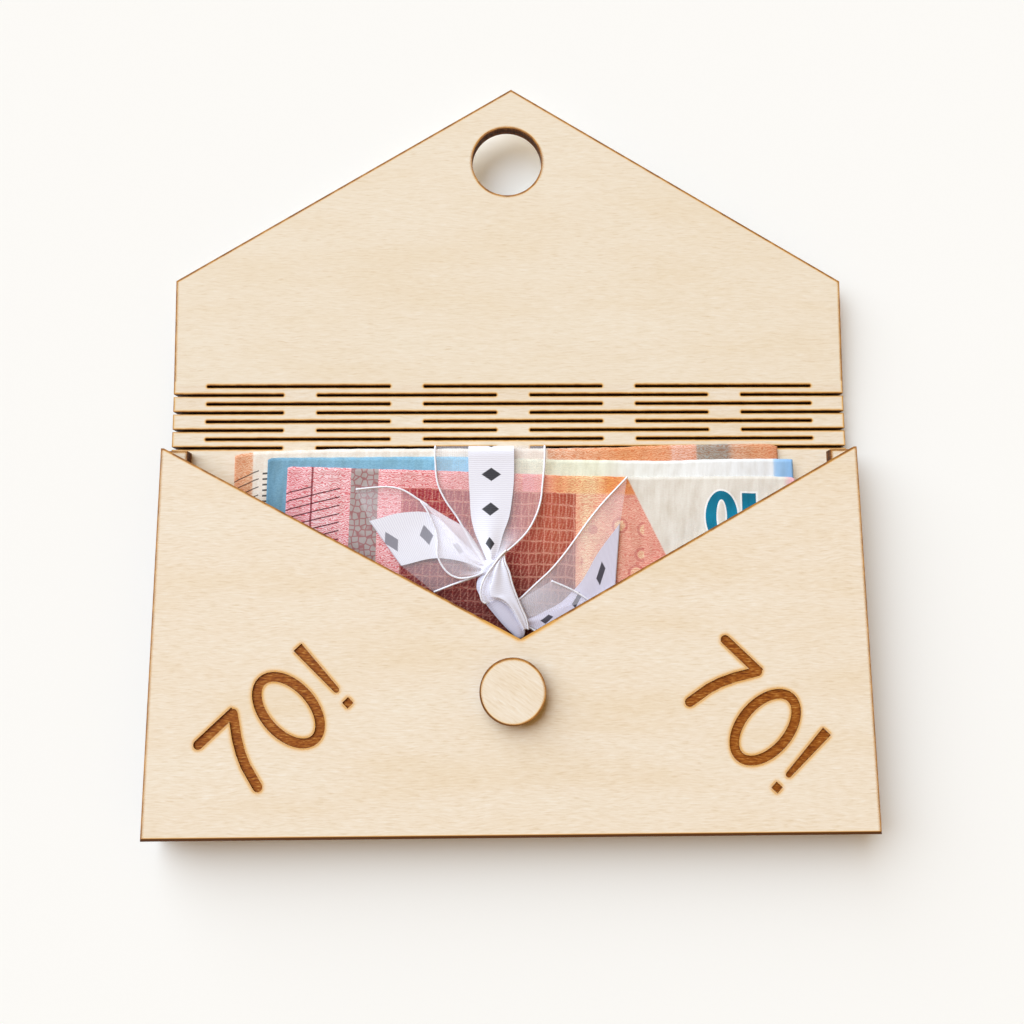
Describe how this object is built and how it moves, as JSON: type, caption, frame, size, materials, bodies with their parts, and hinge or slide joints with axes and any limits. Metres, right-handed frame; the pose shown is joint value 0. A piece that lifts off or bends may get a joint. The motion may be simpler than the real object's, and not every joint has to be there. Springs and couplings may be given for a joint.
{
  "type": "wooden money envelope",
  "caption": "Laser-cut plywood envelope for banknotes: a notched pocket, a living-hinge flap with a hole that closes round a glued button, and tied notes inside.",
  "frame": {"origin": "centre of the pocket's back face, which lies on the table", "axes": "+X to the right, +Y from the pocket towards the flap's tip, +Z out of the front panel"},
  "size_m": [0.175, 0.1922, 0.0127],
  "materials": {
    "birch_ply": "sanded bare, laser-cut edges",
    "orange_note": "matt, printed, creased",
    "blue_note": "matt, printed, creased",
    "red_note": "matt, printed, creased",
    "white_ribbon": "sheer organza with a satin centre"
  },
  "bodies": {
    "pocket": {"back_panel": "birch_ply", "spacer_left": "birch_ply", "spacer_right": "birch_ply", "spacer_bottom": "birch_ply", "front_panel": "birch_ply", "closure_button": "birch_ply", "note_rear": "orange_note", "note_middle": "blue_note", "note_front": "red_note", "ribbon_wrap": "white_ribbon", "bow_knot": "white_ribbon", "bow_gathered_end": "white_ribbon", "bow_loop": "white_ribbon", "bow_tail_left": "white_ribbon", "bow_tail_right": "white_ribbon"},
    "strip_1": {"hinge_strip_1": "birch_ply"},
    "strip_2": {"hinge_strip_2": "birch_ply"},
    "strip_3": {"hinge_strip_3": "birch_ply"},
    "strip_4": {"hinge_strip_4": "birch_ply"},
    "strip_5": {"hinge_strip_5": "birch_ply"},
    "strip_6": {"hinge_strip_6": "birch_ply"},
    "strip_7": {"hinge_strip_7": "birch_ply"},
    "flap": {"flap": "birch_ply"}
  },
  "joints": [
    {"name": "slot_row_1", "type": "hinge", "parent": "pocket", "child": "strip_1", "pos_m": [0, 0.0484, 0.0015], "axis": [1, 0, 0], "range_deg": [-0.5, 22.15], "stiffness_Nm_per_rad": 0.6, "springref_deg": 0.72},
    {"name": "slot_row_2", "type": "hinge", "parent": "strip_1", "child": "strip_2", "pos_m": [0, 0.05073, 0.00152], "axis": [1, 0, 0], "range_deg": [-0.5, 22.15], "stiffness_Nm_per_rad": 0.6, "springref_deg": 0.68},
    {"name": "slot_row_3", "type": "hinge", "parent": "strip_2", "child": "strip_3", "pos_m": [0, 0.05306, 0.00156], "axis": [1, 0, 0], "range_deg": [-0.5, 22.15], "stiffness_Nm_per_rad": 0.6, "springref_deg": 0.64},
    {"name": "slot_row_4", "type": "hinge", "parent": "strip_3", "child": "strip_4", "pos_m": [0, 0.05539, 0.00162], "axis": [1, 0, 0], "range_deg": [-0.5, 22.15], "stiffness_Nm_per_rad": 0.6, "springref_deg": 0.59},
    {"name": "slot_row_5", "type": "hinge", "parent": "strip_4", "child": "strip_5", "pos_m": [0, 0.05772, 0.0017], "axis": [1, 0, 0], "range_deg": [-0.5, 22.15], "stiffness_Nm_per_rad": 0.6, "springref_deg": 0.55},
    {"name": "slot_row_6", "type": "hinge", "parent": "strip_5", "child": "strip_6", "pos_m": [0, 0.06005, 0.0018], "axis": [1, 0, 0], "range_deg": [-0.5, 22.15], "stiffness_Nm_per_rad": 0.6, "springref_deg": 0.52},
    {"name": "slot_row_7", "type": "hinge", "parent": "strip_6", "child": "strip_7", "pos_m": [0, 0.06237, 0.00193], "axis": [1, 0, 0], "range_deg": [-0.5, 22.15], "stiffness_Nm_per_rad": 0.6, "springref_deg": 0.48},
    {"name": "slot_row_8", "type": "hinge", "parent": "strip_7", "child": "flap", "pos_m": [0, 0.0647, 0.00207], "axis": [1, 0, 0], "range_deg": [-0.5, 22.15], "stiffness_Nm_per_rad": 0.6, "springref_deg": 0.44}
  ]
}
